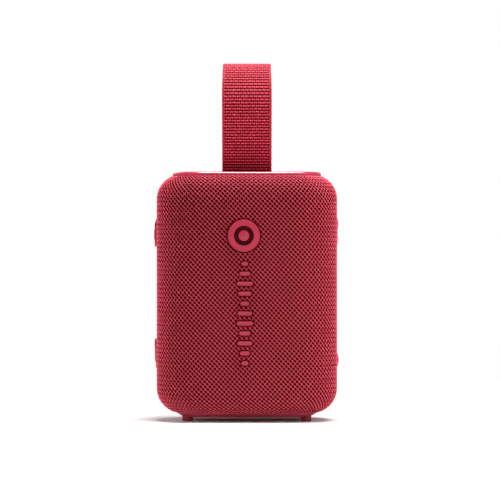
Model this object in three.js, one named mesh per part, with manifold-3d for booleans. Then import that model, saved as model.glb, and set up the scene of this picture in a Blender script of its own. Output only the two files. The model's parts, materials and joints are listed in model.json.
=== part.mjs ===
// Pocket-size portable wireless speaker: a rounded upright body in a stretched knit sleeve, with a
// webbing carry loop on top, side keys, a charging-port flap, one full-range driver at the front and
// one passive radiator at the back. Millimetres, +Z up, the front faces -Y, z = 0 is under the feet.
import * as THREE from 'three';
import { mergeVertices } from 'three/addons/utils/BufferGeometryUtils.js';
import Module from 'manifold-3d';

const wasm = await Module();
wasm.setup();

// ---- Driving dimensions ---------------------------------------------------------------------

// The outside of the knit sleeve.
const bodyWidth = 72;
const bodyDepth = 43;
const bodyBottom = 3;
const bodyTop = 98.2;
const cornerRadius = 18;
const edgeRadius = 10;

// The layers of the wall, from the outside in.
const fabricThickness = 1.2;
const layerGap = 0.3;
const wallThickness = 1.8;
const fit = 0.25;
const outerWall = fabricThickness + layerGap;
const innerWall = outerWall + wallThickness;

// The smooth plates that close the sleeve's two ends.
const capTop = 99;
const capInset = 6.4;
const baseBottom = 1.65;
const baseInset = 7;
const baseChamfer = 3.8;
const baseChamferRise = 2.1;
const baseScrewPlaces = [-14, 14];
const footRadius = 2.1;
const footHeight = 3;
const footPlaces = [[-23.5, -8], [23.5, -8], [-23.5, 8], [23.5, 8]];

// The carry loop of webbing, which hangs on a bar in a pocket of the top cap.
const strapWidth = 20;
const strapThickness = 1.4;
const strapTop = 142.6;
const strapCrestRadius = 13;
const strapLean = 20 * Math.PI / 180;
const barRadius = 1.5;
const barHeight = capTop - 2.3;
const strapRootRadius = barRadius + 0.3 + strapThickness / 2;
const pocketHalf = { x: strapWidth / 2 + 1, y: 7.1 };
const pocketFloor = barHeight - strapRootRadius - strapThickness / 2 - 0.5;
const tubWall = 1.2;

// The side keys and the port flap: [lowest z, highest z] of each raised pad, and how far it stands proud.
const padWidth = 6.4;
const powerKey = { low: 69.3, high: 80.8, step: 78, proud: 0.8, lip: 0.4 };
const portFlap = { low: 20.8, high: 32.6, step: 23.8, proud: 0.8, lip: 0.4 };
const volumeRocker = { low: 70, high: 80.8, proud: 0.2 };
const playKey = { low: 21.6, high: 26.8, proud: 0.35 };
const statusLens = { z: 66.6, radius: 1, proud: 0.1 };
const keyTravelGap = 0.4;
const switchFace = bodyWidth / 2 - 3.65;
const boardFace = bodyWidth / 2 - 5.6;
const boardThickness = 1;

// The main housing ends at the split, and the rear cover closes it over a gasket.
const splitY = 10.5;
const gasketThickness = 0.6;
const coverScrewPlaces = [[-28, 14.5], [28, 14.5], [-28, 86.7], [28, 86.7]];
const screwSeat = splitY + 1.6;

// The driver and the passive radiator share one height on the centre line.
const driverHeight = 53;
const driverHole = 18.5;
const flangeRadius = 23;
const flangeFront = -17;
const passiveHole = 17.5;

// The raised mark on the front: a disc and a column of level bars.
const markX = -1.16;
const discHeight = 73.6;
const discRadius = 6.3;
const markProud = 1;
const barsX = -0.78;
const barsLow = 21.8;
const barsHigh = 64.4;
const barPitch = 3.9;
const barHeights = 1.5;
const barWidths = [2.6, 4.2, 6.3, 5.2, 3.4, 5.6, 6.3, 4.4, 5.8, 3.8, 2.6];

// The electronics.
const mainBoard = { low: 78.5, high: 79.7, halfX: 28.8, halfY: 13 };
const batteryRadius = 9;
const batteryHeight = 17.7;
const batteryHalf = 25;
const batteryY = 1;

const roundSegments = 16;

// ---- Materials ------------------------------------------------------------------------------

const looks = {
  knit: [0xb3203a, 0.9, 0],
  webbing: [0xa31c33, 0.85, 0],
  capPlastic: [0xd0304e, 0.45, 0],
  redRubber: [0xb8243f, 0.6, 0],
  darkRubber: [0x3a0a12, 0.8, 0],
  blackPlastic: [0x1c1c1e, 0.6, 0],
  steel: [0xb8babd, 0.35, 1],
  blackSteel: [0x202224, 0.45, 0.8],
  magnet: [0x8c9096, 0.3, 1],
  copper: [0xb4653a, 0.35, 1],
  paper: [0x26262a, 0.95, 0],
  cloth: [0xb5762c, 0.95, 0],
  foam: [0x2c2c2c, 1, 0],
  circuit: [0x14502c, 0.5, 0],
  chip: [0x101012, 0.4, 0],
  batterySleeve: [0x2455a4, 0.4, 0],
  clear: [0xf2f2f2, 0.1, 0],
};

function material(look) {
  const [color, roughness, metalness] = looks[look];
  return new THREE.MeshStandardMaterial({ color, roughness, metalness });
}

// ---- Solids: closed meshes, booleans and placing ----------------------------------------------

// The geometry with only positions, shared corners merged, no flat triangles, and faces pointing out.
function weld(geometry) {
  const bare = new THREE.BufferGeometry();
  bare.setAttribute('position', geometry.getAttribute('position'));
  bare.setIndex(geometry.getIndex());
  const merged = mergeVertices(bare, 1e-4);
  const points = merged.getAttribute('position');
  const corners = merged.getIndex().array;
  const kept = [];
  let volume = 0;
  const a = new THREE.Vector3();
  const b = new THREE.Vector3();
  const c = new THREE.Vector3();
  for (let i = 0; i < corners.length; i += 3) {
    const [p, q, r] = corners.slice(i, i + 3);
    if (p === q || q === r || r === p) continue;
    kept.push(p, q, r);
    a.fromBufferAttribute(points, p);
    b.fromBufferAttribute(points, q);
    c.fromBufferAttribute(points, r);
    volume += a.dot(b.cross(c));
  }
  merged.setIndex(volume < 0 ? kept.reverse() : kept);
  return merged;
}

function toSolid(geometry) {
  const welded = weld(geometry);
  return new wasm.Manifold(new wasm.Mesh({
    numProp: 3,
    vertProperties: Float32Array.from(welded.getAttribute('position').array),
    triVerts: Uint32Array.from(welded.getIndex().array),
  }));
}

function fromSolid(solid) {
  const mesh = solid.getMesh();
  const geometry = new THREE.BufferGeometry();
  geometry.setAttribute('position', new THREE.Float32BufferAttribute(mesh.vertProperties, 3));
  geometry.setIndex(Array.from(mesh.triVerts));
  return geometry;
}

function cut(base, ...tools) {
  return fromSolid(tools.reduce((solid, tool) => solid.subtract(toSolid(tool)), toSolid(base)));
}

function join(base, ...others) {
  return fromSolid(others.reduce((solid, other) => solid.add(toSolid(other)), toSolid(base)));
}

function common(base, other) {
  return fromSolid(toSolid(base).intersect(toSolid(other)));
}

// A box from its lowest and highest corners.
function boxBetween(low, high) {
  const size = high.map((value, i) => value - low[i]);
  const middle = high.map((value, i) => (value + low[i]) / 2);
  return new THREE.BoxGeometry(...size).translate(...middle);
}

// Rods along each axis: radius, the two ends, and the place on the other two axes.
function rodX(radius, from, to, y, z, segments = roundSegments) {
  const rod = new THREE.CylinderGeometry(radius, radius, to - from, segments);
  return rod.rotateZ(Math.PI / 2).translate((from + to) / 2, y, z);
}

function rodY(radius, from, to, x, z, segments = roundSegments) {
  const rod = new THREE.CylinderGeometry(radius, radius, to - from, segments);
  return rod.translate(x, (from + to) / 2, z);
}

function rodZ(radius, from, to, x, y, segments = roundSegments) {
  const rod = new THREE.CylinderGeometry(radius, radius, to - from, segments);
  return rod.rotateX(Math.PI / 2).translate(x, y, (from + to) / 2);
}

// A body of revolution about the line along Y at the driver's height, from [radius, y] points.
function turned(points) {
  const profile = points.map(([radius, y]) => new THREE.Vector2(radius, y));
  return new THREE.LatheGeometry(profile, roundSegments).translate(0, 0, driverHeight);
}

// A closed ring: its profile ends where it starts.
function turnedRing(points) {
  return turned([...points, points[0]]);
}

function roundedRectangle(width, height, radius) {
  const x = width / 2;
  const y = height / 2;
  const shape = new THREE.Shape();
  shape.moveTo(-x + radius, -y);
  shape.lineTo(x - radius, -y);
  shape.absarc(x - radius, -y + radius, radius, -Math.PI / 2, 0);
  shape.lineTo(x, y - radius);
  shape.absarc(x - radius, y - radius, radius, 0, Math.PI / 2);
  shape.lineTo(-x + radius, y);
  shape.absarc(-x + radius, y - radius, radius, Math.PI / 2, Math.PI);
  shape.lineTo(-x, -y + radius);
  shape.absarc(-x + radius, -y + radius, radius, Math.PI, Math.PI * 3 / 2);
  shape.closePath();
  return shape;
}

// A plate with the given outline between two heights.
function plate(shape, low, high, curveSegments = 6) {
  const options = { depth: high - low, bevelEnabled: false, curveSegments };
  return new THREE.ExtrudeGeometry(shape, options).translate(0, 0, low);
}

// A flat outline drawn in (y, z) and extruded along X, and one drawn in (x, z) and extruded along Y.
function extrudeX(shape, from, to, curveSegments = 4) {
  const turn = new THREE.Matrix4().makeBasis(
    new THREE.Vector3(0, 1, 0), new THREE.Vector3(0, 0, 1), new THREE.Vector3(1, 0, 0));
  return plate(shape, from, to, curveSegments).applyMatrix4(turn);
}

function extrudeY(shape, from, to, curveSegments = 4) {
  const turn = new THREE.Matrix4().makeBasis(
    new THREE.Vector3(1, 0, 0), new THREE.Vector3(0, 0, 1), new THREE.Vector3(0, -1, 0));
  return plate(shape, -to, -from, curveSegments).applyMatrix4(turn);
}

// A round lead along a smooth curve through the given points.
function lead(radius, places) {
  const section = new THREE.Shape(new THREE.EllipseCurve(0, 0, radius, radius).getPoints(8).slice(1));
  const extrudePath = new THREE.CatmullRomCurve3(places.map((place) => new THREE.Vector3(...place)));
  return new THREE.ExtrudeGeometry(section, { extrudePath, steps: 12 });
}

// ---- The assembly -----------------------------------------------------------------------------

const group = new THREE.Group();

function add(name, look, geometry) {
  const mesh = new THREE.Mesh(weld(geometry), material(look));
  mesh.name = name;
  group.add(mesh);
}

// The body's rounded block with all its faces moved in by inset.
function bodyBlock(inset) {
  const core = roundedRectangle(
    bodyWidth - 2 * edgeRadius, bodyDepth - 2 * edgeRadius, cornerRadius - edgeRadius);
  const block = new THREE.ExtrudeGeometry(core, {
    depth: bodyTop - bodyBottom - 2 * edgeRadius,
    bevelSize: edgeRadius - inset,
    bevelThickness: edgeRadius - inset,
    bevelSegments: 3,
    curveSegments: 5,
  });
  return block.translate(0, 0, bodyBottom + edgeRadius);
}

// The body's outline in plan, moved in by inset.
function planOutline(inset) {
  return roundedRectangle(bodyWidth - 2 * inset, bodyDepth - 2 * inset, cornerRadius - inset);
}

// A side pad's outline in (y, z), grown by margin.
function padOutline(pad, margin = 0) {
  const height = pad.high - pad.low + 2 * margin;
  const width = Math.min(padWidth, pad.high - pad.low) + 2 * margin;
  return shifted(roundedRectangle(width, height, width / 2 - 0.7), 0, (pad.low + pad.high) / 2);
}

function shifted(shape, x, y, divisions = 3) {
  const points = shape.getPoints(divisions).map((point) => new THREE.Vector2(point.x + x, point.y + y));
  return new THREE.Shape(points);
}

const side = bodyWidth / 2;
const housingOuter = side - outerWall;
const rockerStems = [-3.6, 3.6].map((offset) => (volumeRocker.low + volumeRocker.high) / 2 + offset);
const powerStem = (powerKey.low + powerKey.high) / 2;
const playStem = (playKey.low + playKey.high) / 2;
const portCentre = (portFlap.low + portFlap.high) / 2;
const micX = 20;

function addSleeve() {
  const reach = fabricThickness + 3;
  add('fabric_sleeve', 'knit', cut(
    bodyBlock(0),
    bodyBlock(fabricThickness),
    plate(planOutline(capInset - fit), bodyTop - edgeRadius, bodyTop + 1),
    plate(planOutline(baseInset - fit), bodyBottom - 1, bodyBottom + edgeRadius),
    extrudeX(padOutline(powerKey, fit), -side - 1, -side + reach),
    extrudeX(padOutline(portFlap, fit), -side - 1, -side + reach),
    extrudeX(padOutline(volumeRocker, fit), side - reach, side + 1),
    extrudeX(padOutline(playKey, fit), side - reach, side + 1),
    rodX(statusLens.radius + fit, side - reach, side + 1, 0, statusLens.z, 12)));
}

// A post on the inside of the front wall, kept inside the wall's outer face.
function post(radius, to, x, z) {
  return common(rodY(radius, -bodyDepth / 2, to, x, z, 14), bodyBlock(outerWall + 0.4));
}

function addMainHousing() {
  const front = -bodyDepth / 2;
  const behind = boxBetween([-50, splitY - 0.4, -10], [50, 50, 120]);
  const shell = cut(bodyBlock(outerWall), bodyBlock(innerWall), behind);
  const coverPosts = coverScrewPlaces.map(([x, z]) => post(2.6, splitY - 0.4, x, z));
  const tubWindow = roundedRectangle(2 * pocketHalf.x + 3.2, 2 * pocketHalf.y + 3.2, 1.5);
  const portWindow = shifted(roundedRectangle(4, 9.7, 1.9), 0, portCentre);
  add('main_housing', 'blackPlastic', cut(
    join(shell, ...coverPosts),
    plate(tubWindow, bodyTop - 8, bodyTop, 3),
    rodZ(0.8, bodyTop - 8, bodyTop, micX, 0, 12),
    rodY(driverHole, front - 1, flangeFront - 0.9, 0, driverHeight, 24),
    extrudeX(portWindow, -side, -side + 5),
    rodX(2.2, -side, -side + 5, 0, powerStem, 14),
    ...rockerStems.map((z) => rodX(1.7, side - 5, side, 0, z, 12)),
    rodX(2, side - 5, side, 0, playStem, 14),
    rodX(1.25, side - 5, side, 0, statusLens.z, 12),
    ...coverScrewPlaces.map(([x, z]) => rodY(1.2, splitY - 7, splitY, x, z, 12))));
}

function addRearCover() {
  const ahead = boxBetween([-50, -50, -10], [50, splitY + 0.4, 120]);
  const shell = cut(bodyBlock(outerWall), bodyBlock(innerWall), ahead);
  const lugs = coverScrewPlaces.map(
    ([x, z]) => common(rodY(2.6, splitY + 0.4, 18, x, z, 14), bodyBlock(outerWall + 0.2)));
  add('rear_cover', 'blackPlastic', cut(
    join(shell, ...lugs),
    rodY(passiveHole, 15, 25, 0, driverHeight, 24),
    ...coverScrewPlaces.map(([x, z]) => rodY(2.5, screwSeat, 25, x, z, 14)),
    ...coverScrewPlaces.map(([x, z]) => rodY(1.25, 10, 14, x, z, 12))));
}

function addHousingGasket() {
  const slab = boxBetween(
    [-50, splitY - gasketThickness / 2, -10], [50, splitY + gasketThickness / 2, 120]);
  add('housing_gasket', 'foam', common(cut(bodyBlock(outerWall), bodyBlock(innerWall)), slab));
}

function addCoverScrews() {
  coverScrewPlaces.forEach(([x, z], i) => {
    const head = rodY(2.2, screwSeat + 0.05, screwSeat + 1.3, x, z, 14);
    const drive = rodY(0.9, screwSeat + 0.7, screwSeat + 2, x, z, 6);
    const shank = rodY(1, screwSeat - 8, screwSeat + 0.2, x, z, 12);
    add(`cover_screw_${i + 1}`, 'steel', cut(join(head, shank), drive));
  });
}

// A perforated disc that closes a round hole in the housing: one centre hole and two rings of holes.
function perforatedDisc(radius, from, to) {
  const rings = [[0, 1], [6.6, 6], [13.1, 12]];
  const holes = rings.flatMap(([ring, count]) => Array.from({ length: count }, (_, i) => {
    const angle = i * 2 * Math.PI / count;
    const x = ring * Math.cos(angle);
    const z = driverHeight + ring * Math.sin(angle);
    return rodY(2.5, from - 1, to + 1, x, z, 6);
  }));
  return cut(rodY(radius, from, to, 0, driverHeight, 24), ...holes);
}

function addGrilles() {
  add('front_grille', 'blackPlastic', perforatedDisc(driverHole - 0.3, -19.9, -18.7));
  add('rear_grille', 'blackPlastic', perforatedDisc(passiveHole - 0.3, 18.7, 19.9));
}

// ---- Top cap, carry loop, base and feet ---------------------------------------------------------

function addTopCap() {
  const rim = 0.8;
  const low = bodyTop - outerWall + 0.1;
  const lid = new THREE.ExtrudeGeometry(planOutline(capInset + rim), {
    depth: capTop - low - 2 * rim,
    bevelSize: rim,
    bevelThickness: rim,
    bevelSegments: 2,
    curveSegments: 5,
  }).translate(0, 0, low + rim);
  const tubX = 2 * (pocketHalf.x + tubWall);
  const tubY = 2 * (pocketHalf.y + tubWall);
  const tub = plate(roundedRectangle(tubX, tubY, 1.2), pocketFloor - tubWall, low + rim, 3);
  const pocket = roundedRectangle(2 * pocketHalf.x, 2 * pocketHalf.y, 1.6);
  add('top_cap', 'capPlastic', cut(
    join(lid, tub),
    plate(pocket, pocketFloor, capTop + 1, 4),
    rodX(barRadius + 0.1, -pocketHalf.x - 0.95, pocketHalf.x + 0.95, 0, barHeight, 16),
    rodZ(0.5, low - 1, capTop + 1, micX, 0, 10)));
}

function addStrapBar() {
  const half = pocketHalf.x + 0.9;
  add('strap_bar', 'steel', rodX(barRadius, -half, half, 0, barHeight, 16));
}

// The loop's outline in (y, z) at an offset from the middle of the webbing: round the bar, straight
// and leaning outwards, round a shoulder until it is upright, and over the crest.
function loopOutline(offset) {
  const crestHeight = strapTop - strapThickness / 2 - strapCrestRadius;
  const sine = Math.sin(strapLean);
  const cosine = Math.cos(strapLean);
  // The straight length and the shoulder radius follow from the width and the height to be covered.
  const across = strapCrestRadius - strapRootRadius * cosine;
  const up = crestHeight - barHeight + strapRootRadius * sine;
  const shoulderRadius = (up * sine - across * cosine) / (sine * sine - cosine * (1 - cosine));
  const root = strapRootRadius + offset;
  const shoulder = shoulderRadius + offset;
  const crest = strapCrestRadius + offset;
  const shoulderY = strapCrestRadius - shoulderRadius;
  const outline = new THREE.Path();
  outline.absarc(0, crestHeight, crest, 0, Math.PI);
  outline.absarc(-shoulderY, crestHeight, shoulder, Math.PI, Math.PI + strapLean);
  outline.absarc(0, barHeight, root, Math.PI + strapLean, 2 * Math.PI - strapLean);
  outline.absarc(shoulderY, crestHeight, shoulder, -strapLean, 0);
  return outline;
}

function addStrap() {
  const points = (offset) => loopOutline(offset).getPoints(7);
  const loop = new THREE.Shape(points(strapThickness / 2));
  loop.holes.push(new THREE.Path(points(-strapThickness / 2)));
  add('strap_loop', 'webbing', extrudeX(loop, -strapWidth / 2, strapWidth / 2));
}

function addBase() {
  const top = bodyBottom + outerWall - 0.2;
  const chamfered = new THREE.ExtrudeGeometry(planOutline(baseInset + baseChamfer), {
    depth: 3,
    bevelSize: baseChamfer,
    bevelThickness: baseChamferRise,
    bevelSegments: 1,
    curveSegments: 6,
  }).translate(0, 0, baseBottom + baseChamferRise);
  add('base_plate', 'capPlastic', cut(
    chamfered,
    boxBetween([-50, -50, top], [50, 50, 20]),
    ...footPlaces.map(([x, y]) => rodZ(footRadius + fit, 0, footHeight + 0.2, x, y)),
    ...baseScrewPlaces.map((x) => rodZ(2, 0, 2.9, x, 0, 14)),
    ...baseScrewPlaces.map((x) => rodZ(1.1, 2, 5, x, 0, 12))));
  baseScrewPlaces.forEach((x, i) => {
    const screw = join(rodZ(1.7, 1.8, 2.8, x, 0, 14), rodZ(0.8, 2.7, 4.2, x, 0, 12));
    add(`base_screw_${i + 1}`, 'steel', cut(screw, rodZ(0.8, 1, 2.3, x, 0, 6)));
  });
  footPlaces.forEach(([x, y], i) => {
    add(`foot_${i + 1}`, 'redRubber', rodZ(footRadius, 0, footHeight, x, y));
  });
}

// ---- Keys, port and flap ------------------------------------------------------------------------

// The step of a two-level pad, lowered to the lip's height past the pad's step.
function lipCut(pad, beyond) {
  const [low, high] = beyond;
  return boxBetween([-side - 5, -padWidth, low], [-side - pad.lip, padWidth, high]);
}

function addPowerKey() {
  const pad = extrudeX(padOutline(powerKey), -side - powerKey.proud, -housingOuter - keyTravelGap);
  const stem = rodX(1.8, -housingOuter - 1, -switchFace - 0.4, 0, powerStem, 14);
  add('power_key', 'redRubber', cut(
    join(pad, stem), lipCut(powerKey, [powerKey.step, powerKey.high + 1])));
}

function addPortFlap() {
  const pad = extrudeX(padOutline(portFlap), -side - portFlap.proud, -side + 0.7);
  add('port_flap', 'redRubber', cut(pad, lipCut(portFlap, [portFlap.low - 1, portFlap.step])));
}

function addVolumeRocker() {
  const pad = extrudeX(padOutline(volumeRocker), housingOuter + keyTravelGap, side + volumeRocker.proud);
  const stems = rockerStems.map((z) => rodX(1.2, switchFace + 0.4, housingOuter + 1, 0, z, 12));
  add('volume_rocker', 'redRubber', join(pad, ...stems));
}

function addPlayKey() {
  const pad = extrudeX(padOutline(playKey), housingOuter + keyTravelGap, side + playKey.proud);
  const stem = rodX(1.6, switchFace + 0.4, housingOuter + 1, 0, playStem, 14);
  add('play_key', 'redRubber', join(pad, stem));
}

function addStatusLens() {
  const lens = rodX(statusLens.radius, housingOuter - 2, side + statusLens.proud, 0, statusLens.z, 12);
  add('status_lens', 'clear', lens);
}

// A push switch on a side board, from the board's face to its button, and the direction it faces.
function addSwitch(name, sign, z) {
  const base = boardFace + 0.05;
  const [near, far] = sign < 0 ? [-switchFace + 0.5, -base] : [base, switchFace - 0.5];
  const box = boxBetween([near, -2, z - 1.6], [far, 2, z + 1.6]);
  const [from, to] = sign < 0 ? [-switchFace, -switchFace + 1] : [switchFace - 1, switchFace];
  add(name, 'chip', join(box, rodX(0.9, from, to, 0, z, 12)));
}

function addSideBoards() {
  const back = boardFace - boardThickness;
  add('left_key_board', 'circuit', boxBetween([-boardFace, -4, 20], [-back, 4, 84]));
  add('right_key_board', 'circuit', boxBetween([back, -4, 17], [boardFace, 4, 84]));
  addSwitch('power_switch', -1, powerStem);
  addSwitch('play_switch', 1, playStem);
  rockerStems.forEach((z, i) => addSwitch(['volume_down_switch', 'volume_up_switch'][i], 1, z));
  const led = boxBetween([boardFace + 0.05, -0.8, statusLens.z - 0.8],
    [boardFace + 1.2, 0.8, statusLens.z + 0.8]);
  add('status_led', 'clear', led);
}

function addUsbPort() {
  const shape = (margin) => shifted(roundedRectangle(
    3.2 + 2 * margin, 8.9 + 2 * margin, 1.5 + margin), 0, portCentre);
  const back = -boardFace - 0.05;
  const shell = cut(
    extrudeX(shape(0), -housingOuter + 0.4, back),
    extrudeX(shape(-0.3), -housingOuter - 1, back - 0.8));
  const tongue = boxBetween([-housingOuter + 1, -0.35, portCentre - 3.3],
    [back - 0.4, 0.35, portCentre + 3.3]);
  add('usb_port', 'steel', join(shell, tongue));
}

// ---- The driver, along Y from the front --------------------------------------------------------

function addDriver() {
  const flangeBack = flangeFront + 1;
  const basket = turnedRing([[flangeRadius, flangeFront], [flangeRadius, flangeBack],
    [20.6, flangeBack], [13.4, -5.2], [13.4, -4.2], [8.8, -4.2], [8.8, -5.2], [12.4, -5.2],
    [19.6, -16.2], [19.6, flangeFront]]);
  const windows = [0, 90].map((degrees) => {
    const slot = boxBetween([-30, -13.5, -3.2], [30, -7.2, 3.2]);
    return slot.rotateY(degrees * Math.PI / 180).translate(0, 0, driverHeight);
  });
  add('driver_basket', 'blackSteel', cut(basket, ...windows));
  add('driver_gasket', 'foam', turnedRing([[19.8, -17.5], [21.6, -17.5], [21.6, -17.05],
    [19.8, -17.05]]));
  add('driver_yoke', 'steel', turned([[0, 1.6], [10.9, 1.6], [10.9, -4.1], [8.65, -4.1], [8.65, 0.2],
    [0, 0.2]].reverse()));
  add('driver_magnet', 'magnet', turned([[0, -2.5], [6.6, -2.5], [6.6, 0.15], [0, 0.15]]));
  add('driver_top_plate', 'steel', turned([[0, -4.2], [6.9, -4.2], [6.9, -2.55], [0, -2.55]]));
  add('voice_coil', 'copper', turnedRing([[7.25, -9.4], [7.75, -9.4], [7.75, -1.6], [7.25, -1.6]]));
  add('driver_cone', 'paper', turnedRing([[7.85, -9.6], [16.3, -15.9], [16.3, -16.4], [7.85, -10.1]]));
  add('dust_cap', 'paper', turned([[0, -12.6], [4.4, -12], [7.7, -10.2], [7.7, -9.7], [4.4, -11.5],
    [0, -12.1]]));
  add('driver_spider', 'cloth', turnedRing([[7.85, -8], [9.3, -7.6], [10.7, -8], [11.9, -7.6],
    [13.2, -7.8], [13.2, -7.4], [11.9, -7.2], [10.7, -7.6], [9.3, -7.2], [7.85, -7.6]]));
  add('driver_surround', 'darkRubber', rollRing(16.35, 19.45, -16.15, -1));
}

// A half-roll ring of rubber between two radii, bulging towards sign along Y.
function rollRing(from, to, y, sign) {
  const middle = (from + to) / 2;
  const half = (to - from) / 2;
  const steps = [0, 1, 2, 3, 4];
  const arc = (radius) => steps.map((step) => {
    const angle = Math.PI * step / 4;
    return [middle - radius * Math.cos(angle), y + sign * radius * Math.sin(angle)];
  });
  return turnedRing([...arc(half), ...arc(half - 0.45).reverse()]);
}

function addPassiveRadiator() {
  add('passive_frame', 'blackPlastic', turnedRing([[17.9, 15.2], [21.5, 15.2], [21.5, 17.3],
    [17.9, 17.3]]));
  add('passive_surround', 'darkRubber', rollRing(12.9, 17.8, 15.8, -1));
  add('passive_plate', 'blackPlastic', turned([[0, 15], [12.8, 15], [12.8, 16.2], [0, 16.2]]));
}

// ---- Electronics --------------------------------------------------------------------------------

function addMainBoard() {
  const { low, high, halfX, halfY } = mainBoard;
  const top = high + 0.05;
  add('main_board', 'circuit', plate(roundedRectangle(2 * halfX, 2 * halfY, 2), low, high, 3));
  add('radio_module', 'steel', boxBetween([-26, -10, top], [-12, 0, top + 2.2]));
  add('amplifier_chip', 'chip', boxBetween([2, -9, top], [8, -3, top + 1]));
  add('processor_chip', 'chip', boxBetween([-8, 2, top], [0, 10, top + 1]));
  add('battery_socket', 'clear', boxBetween([-26, 6, top], [-20, 11, top + 3.5]));
  add('microphone', 'steel', boxBetween([micX - 1.8, -1.4, top], [micX + 1.8, 1.4, top + 1]));
  const boot = rodZ(1.9, top + 1.05, bodyTop - innerWall - 0.1, micX, 0, 14);
  add('microphone_boot', 'darkRubber', cut(boot, rodZ(0.8, 70, 100, micX, 0, 10)));
}

function addBattery() {
  const cell = rodX(batteryRadius, -batteryHalf, batteryHalf, batteryY, batteryHeight, 24);
  add('battery_cell', 'batterySleeve', cell);
  const floor = bodyBottom + innerWall + 0.1;
  const block = boxBetween([-18, -7, floor], [18, 9, floor + 5]);
  const seat = rodX(batteryRadius + 0.3, -40, 40, batteryY, batteryHeight, 24);
  add('battery_cradle', 'foam', cut(block, seat));
  add('battery_lead', 'darkRubber', lead(0.8, [[-26.2, 4, 18], [-27, 7.5, 26], [-26.8, 9, 52],
    [-26, 8, 68], [-24, 8, 78.1]]));
}

function addSpeakerLead() {
  const tab = boxBetween([16, -8.6, -1.6], [18.4, -7.4, 1.6]);
  tab.rotateY(-Math.PI / 4).translate(0, 0, driverHeight);
  add('driver_terminal', 'copper', tab);
  add('speaker_lead', 'darkRubber', lead(0.7, [[13.6, -8, 66.6], [16.5, -7.5, 70], [18, -7, 74],
    [18.4, -6.5, 78.1]]));
}

function addMark() {
  const back = -bodyDepth / 2 - 0.05;
  const face = -bodyDepth / 2 - markProud;
  const ring = cut(
    rodY(4.3, face - 1, face + 0.45, markX, discHeight), rodY(3.3, face - 2, face + 2, markX, discHeight));
  add('mark_disc', 'redRubber', cut(
    rodY(discRadius, face, back, markX, discHeight, 24), ring,
    rodY(1.3, face - 1, face + 0.45, markX, discHeight, 16)));
  const middle = (barsLow + barsHigh) / 2;
  const film = extrudeY(
    shifted(roundedRectangle(6.8, barsHigh - barsLow, 1), barsX, middle), back - 0.2, back);
  const first = middle + barPitch * (barWidths.length - 1) / 2;
  const bars = barWidths.map((width, i) => extrudeY(shifted(
    roundedRectangle(width, barHeights, barHeights / 2 - 0.05), barsX, first - i * barPitch, 2),
  face, back - 0.1));
  add('mark_bars', 'redRubber', join(film, ...bars));
}

addSleeve();
addMark();
addTopCap();
addStrapBar();
addStrap();
addBase();
addPowerKey();
addPortFlap();
addVolumeRocker();
addPlayKey();
addStatusLens();
addMainHousing();
addRearCover();
addHousingGasket();
addCoverScrews();
addGrilles();
addDriver();
addPassiveRadiator();
addSideBoards();
addUsbPort();
addMainBoard();
addBattery();
addSpeakerLead();

export default group;
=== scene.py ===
import json
import math

import bmesh
import bpy
import numpy as np
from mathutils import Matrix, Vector


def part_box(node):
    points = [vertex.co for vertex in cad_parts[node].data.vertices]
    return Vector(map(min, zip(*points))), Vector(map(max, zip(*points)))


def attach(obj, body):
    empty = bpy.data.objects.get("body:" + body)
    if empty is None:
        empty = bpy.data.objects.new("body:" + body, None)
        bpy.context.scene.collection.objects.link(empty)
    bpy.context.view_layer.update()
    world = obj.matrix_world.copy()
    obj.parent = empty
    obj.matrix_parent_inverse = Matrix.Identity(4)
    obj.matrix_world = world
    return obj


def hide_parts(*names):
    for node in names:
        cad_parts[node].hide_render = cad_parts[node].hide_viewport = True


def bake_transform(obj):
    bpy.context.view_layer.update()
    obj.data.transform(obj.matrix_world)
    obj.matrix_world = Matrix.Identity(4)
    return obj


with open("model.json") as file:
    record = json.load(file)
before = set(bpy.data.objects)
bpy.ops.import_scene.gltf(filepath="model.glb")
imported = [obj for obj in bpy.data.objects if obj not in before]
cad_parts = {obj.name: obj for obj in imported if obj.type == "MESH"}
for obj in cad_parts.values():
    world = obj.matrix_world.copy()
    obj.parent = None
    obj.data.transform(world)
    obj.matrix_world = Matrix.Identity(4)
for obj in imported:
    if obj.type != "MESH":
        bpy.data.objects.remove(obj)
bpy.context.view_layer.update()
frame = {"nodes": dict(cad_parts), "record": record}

MM = 0.001
SHARP_ANGLE = 40                        # degrees; an edge steeper than this is shaded sharp
AXIS_GAP = 0.01 * MM                    # radius of a turned piece's rings on its axis
nodes = frame["nodes"]

# ---- Driving dimensions --------------------------------------------------------------------------

sleeve_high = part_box("fabric_sleeve")[1]
housing_low, housing_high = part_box("main_housing")
cap_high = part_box("top_cap")[1]
base_low, base_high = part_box("base_plate")
strap_low, strap_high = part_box("strap_loop")
bar_low, bar_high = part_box("strap_bar")

HALF_WIDTH = sleeve_high.x
HALF_DEPTH = sleeve_high.y
SKIN = HALF_WIDTH - housing_high.x      # from the sleeve's outside to the housing
BODY_BOTTOM = housing_low.z - SKIN
BODY_TOP = housing_high.z + SKIN
CORNER = 18 * MM                        # radius of the body's corners in plan
EDGE = 10 * MM                          # radius of the body's top and bottom edges

CAP_INSET = HALF_WIDTH - cap_high.x
BASE_INSET = HALF_WIDTH - base_high.x
CAP_RIM = 1.25 * MM                     # rounding of the cap's upper edge
CAP_LOW_RIM = 0.5 * MM                  # and of its lower edge

KNIT_COLUMNS = 110
KNIT_ROW_PAIRS = 50
KNIT_SKEW = 0.11                        # columns of drift for each pair of rows
KNIT_DEPTH = 0.50 * MM
KNIT_STEPS = 10                         # mesh steps in one column, and in one pair of rows
FALLING_RIB = 0.125                     # width of the ribs of yarn, in columns
RISING_RIB = 0.115
RISING_SHARE = 0.95                     # height of the rising ribs next to the falling ones
KNIT_GAP = 0.1 * MM                     # from the knit's ends to the cap's and the base's edges

SEAM_HALF = 1.5 * MM                    # half the width of the seam down the back
SEAM_FADE = 0.4 * MM
STITCH_PITCH = 2.6 * MM

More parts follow.
